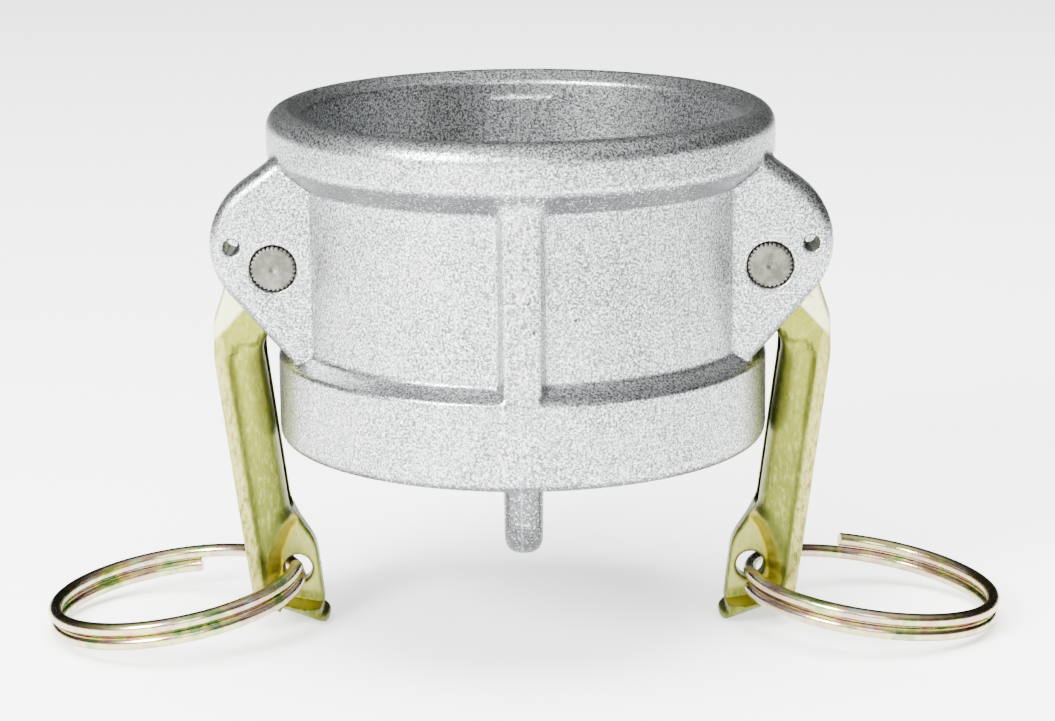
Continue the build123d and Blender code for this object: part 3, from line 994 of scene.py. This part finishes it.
    def surface(self) -> Surface:
        """Works out the right arm's surface, with the values that its finish reads."""
        u = stations((-12.5, 19, 0.44))
        y = stations((-10.2, 10.2, 0.44))
        v = stations((-86.5, -55, 0.44), (-55, -24, 0.62), (-24, 9, 0.44))
        rough, exact = partial(self.field, exact=False), partial(self.field, exact=True)
        local = surface_of(rough, exact, (u, y, v), 1)
        pu, py, pv = local.points.T
        arch, pinch = self.arch.distance(pu, pv), self.pinch.distance(pu, pv)
        side = ramp((np.abs(py) - 2.4) / 0.4)
        edge = ramp((2.2 - np.abs(self.profile.distance(pu, pv))) / 2.0)
        # Where painted shade goes: along the inner bend, on the step above the pinched plate and at the
        # arch crease.
        bend = edge * ramp((10 - pu) / 3) * ramp((-16 - pv) / 4) * ramp((pv + 62) / 4)
        above = ramp(1 - np.abs(pinch - 0.6) / 2.4) * ramp((pv + 70) / 5) * 0.75
        crease = ramp(1 - np.abs(arch + 1.0) / 1.4) * ramp((pv + 24) / 3) * ramp((10 - pu) / 4) * 0.35
        local.values = {
            "strip": ramp((pu - 14.2) / 0.5) * ramp((pv + 80) / 3) * ramp((-14 - pv) / 3),
            "fold": np.maximum(np.maximum(bend * 0.3, crease), above) * side,
            "wall": ramp(-pinch / 0.5) * ramp((pinch + np.where(pv < self.steep_v, 1.4, 3.6)) / 0.8) * side,
            "bright": ramp((-pinch - 2.6) / 1.0) * side,
            # The head above its slanted line, which gets a painted highlight.
            "head": ramp((pv + 11.8 + 0.848 * (pu - 10.6)) / 0.5),
        }
        lean = math.radians(self.lean)
        cosine, sine = math.cos(lean), math.sin(lean)
        matrix = np.array([[cosine, 0, sine], [0, 1, 0], [-sine, 0, cosine]])
        return local.turned(matrix, np.array([PIN_X, 0, PIN_Z]))

    def build(self, finish: PlatedSteel) -> None:
        """Makes the right arm, and the left one as the same arm turned half round about Z."""
        material = finish.make()
        right = self.surface()
        half_turn = np.diag([-1.0, -1.0, 1.0])
        for side, surface in ((Side.RIGHT, right), (Side.LEFT, right.turned(half_turn, np.zeros(3)))):
            name = side.name.lower()
            dress(surface.build(f"arm_{name}"), material, f"arm_{name}", f"cam_arm_{name}")


@dataclass
class PullRing:
    """A split ring of round wire that hangs in the arm's hole."""

    side: Side
    yaw: float
    roll: float
    wire_x: float = 50.49
    wire_z: float = -47.14
    forward: float = 0.9
    mean_r: float = 27.3
    wire_r: float = 1.5
    pitch: float = 3.15
    tilt: float = 8.0
    front_turns: float = 347 / 360
    back_turns: float = 285 / 360

    def build(self, finish: PlatedWire) -> None:
        """Carries a round section along the helix.

        The wire's middle is (R cos a, R sin a, pitch t) at t turns from the hole, with a = 180 + 360 t.
        The section lies across the wire: the radial way and the way square to it and to the helix.
        """
        turns = np.linspace(-self.front_turns, self.back_turns, 300)
        angle = math.pi + 2 * math.pi * turns
        radial = np.stack([np.cos(angle), np.sin(angle), 0 * angle], 1)
        middle = radial * self.mean_r + np.outer(turns, [0, 0, self.pitch])
        rise = self.pitch / (2 * math.pi * self.mean_r)
        along = np.stack([-np.sin(angle), np.cos(angle), rise + 0 * angle], 1)
        along /= np.linalg.norm(along, axis=1, keepdims=True)
        across = np.cross(along, radial)
        around = np.linspace(0, 2 * math.pi, 29)[:-1]
        ends = np.array([[-0.12, 0.45], [-0.12, 0.85], [-0.102, 1.0]])
        size = np.concatenate([ends[:, 1], np.ones(len(turns)), ends[::-1, 1]])
        keep = np.pad(np.arange(len(turns)), len(ends), "edge")
        shift = np.concatenate([ends[:, 0], np.zeros(len(turns)), -ends[::-1, 0]])
        core = middle[keep] + along[keep] * shift[:, None]
        section = radial[keep][:, None] * np.cos(around)[None, :, None]
        section = section + across[keep][:, None] * np.sin(around)[None, :, None]
        rings = core[:, None] + section * (self.wire_r * size)[:, None, None]
        surface = skin(rings[:, ::-1], False)
        sign = self.side.value
        turn_y = self.tilt if self.side is Side.RIGHT else 180 - self.tilt
        place = Matrix.Translation((sign * self.wire_x, -self.forward, self.wire_z))
        for degrees, axis in ((-sign * self.yaw, "Z"), (turn_y, "Y"), (-self.roll, "X")):
            place = place @ Matrix.Rotation(math.radians(degrees), 4, axis)
        place = np.array(place @ Matrix.Translation((self.mean_r, 0, 0)))
        name = self.side.name.lower()
        ring = surface.turned(place[:3, :3], place[:3, 3]).build(f"ring_{name}")
        dress(ring, finish.make(), f"ring_{name}", f"pull_ring_{name}")


@dataclass
class Studio:
    """The camera at the photograph's angle, a pale floor and soft light."""

    lens: float = 108.99
    sensor: float = 36.0
    camera_at: tuple[float, float, float] = (1.1, -685.5, 164.7)
    pitch: float = 13.466
    roll: float = -0.451
    floor_z: float = -58.6
    floor_half: float = 3000.0

    def camera(self) -> None:
        """Makes the camera."""
        data = bpy.data.cameras.new("photo_camera")
        data.lens, data.sensor_width, data.sensor_fit = self.lens, self.sensor, "HORIZONTAL"
        data.clip_start, data.clip_end = 0.01, 20.0
        camera = placed("photo_camera", data)
        turn = Matrix.Rotation(math.radians(90 - self.pitch), 4, "X")
        turn = turn @ Matrix.Rotation(math.radians(self.roll), 4, "Z")
        camera.matrix_world = Matrix.Translation([c * MM for c in self.camera_at]) @ turn
        bpy.context.scene.camera = camera

    def floor(self) -> None:
        """Makes a wide flat sheet that glows most at the front left and least far out at the right."""
        size = self.floor_half
        corners = np.array([[-size, -size], [size, -size], [size, size], [-size, size]])
        points = np.concatenate([corners, np.full((4, 1), self.floor_z)], 1)
        floor = Surface(points, np.array([[0, 1, 2, 3]])).build("floor")
        s = Shader("pale floor")
        x, y = s.axis("X"), s.axis("Y")
        dark = (x - y * 0.2).between(200.0, 450.0) * (y + x * 0.45).between(-100.0, 150.0)
        card = x.between(-120.0, -260.0) * y.between(-60.0, -260.0)
        shine = s.blend(card, s.blend(dark, (0.5, 0.5, 0.5), (0.03, 0.03, 0.03)), (1.0, 1.0, 1.0))
        glow = {"Emission_Color": shine, "Emission_Strength": 2.4}
        floor.data.materials.append(s.finish(Base_Color=(0.93, 0.93, 0.93), Roughness=0.9, **glow))

    def lamp(self, name: str, angles: Point, reach: float, size: float, power: float, shine: bool) -> None:
        """Adds a soft square light that looks at the object.

        Args:
            name: the light's name.
            angles: its bearing from the camera's side (positive to the right) and its height, in degrees.
            reach: its distance in metres.
            size: its width in metres.
            power: its power in watts.
            shine: whether polished surfaces mirror it.
        """
        data = bpy.data.lights.new(name, "AREA")
        data.shape, data.size, data.energy = "SQUARE", size, power
        lamp = placed(name, data)
        bearing, height = (math.radians(a) for a in angles)
        flat = math.cos(height)
        away = Vector((math.sin(bearing) * flat, -math.cos(bearing) * flat, math.sin(height)))
        turn = away.to_track_quat("Z", "Y").to_matrix().to_4x4()
        lamp.matrix_world = Matrix.Translation(away * reach) @ turn
        lamp.visible_glossy = shine

    def world(self) -> None:
        """A plain surround: bright overhead, faint lower down, dark behind, dimmer to the sides."""
        world = bpy.data.worlds.new("studio")
        world.use_nodes = True
        bpy.context.scene.world = world
        nodes = Nodes(world.node_tree)
        place = nodes.node("TexCoord", {}, {}).outputs["Generated"]
        split = nodes.node("SeparateXYZ", {}, {"Vector": place})
        x, y, z = (Signal(nodes, socket) for socket in split.outputs)
        levels = ((0.0, 0.05), (0.50, 0.07), (0.62, 0.10), (0.78, 0.20), (1.0, 0.85))
        grey = [(at, (level, level, level)) for at, level in levels]
        tint = nodes.ramp(z.mapped("LINEAR", {"From Min": -1.0}), grey)
        fade = {"From Min": 0.5, "From Max": 1.0, "To Min": 2.0, "To Max": 0.56}
        sides = (x + 0.12).math("ABSOLUTE").mapped("LINEAR", fade)
        behind = y.mapped("LINEAR", {"From Min": -0.1, "From Max": 0.55, "To Min": 1.0, "To Max": 0.06})
        back = nodes.node("Background", {}, {"Color": tint, "Strength": sides * behind})
        nodes.node("OutputWorld", {}, {"Surface": back.outputs[0]})

    def build(self) -> None:
        """Makes the floor and the lights."""
        self.floor()
        self.world()
        self.lamp("key", (-40, 30), 1.0, 0.35, 34.0, True)
        self.lamp("fill", (4, 22), 1.0, 0.35, 4.0, True)
        self.lamp("top", (0, 86), 1.3, 1.2, 90.0, False)


def main() -> None:
    """Builds the studio and each piece in order."""
    logging.basicConfig(level=logging.INFO, format="%(name)s %(message)s")
    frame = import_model()
    LOG.info("frame with %d nodes", len(frame["nodes"]))
    studio = Studio()
    studio.camera()
    studio.build()
    CapCasting().build(CastAluminium())
    Gasket().build(GasketRubber())
    for side in Side:
        PivotPin(side).build()
    CamArm().build(PlatedSteel())
    PullRing(Side.LEFT, 10.0, 0.0).build(PlatedWire())
    PullRing(Side.RIGHT, 5.0, 1.5).build(PlatedWire())


if __name__ == "__main__":
    main()
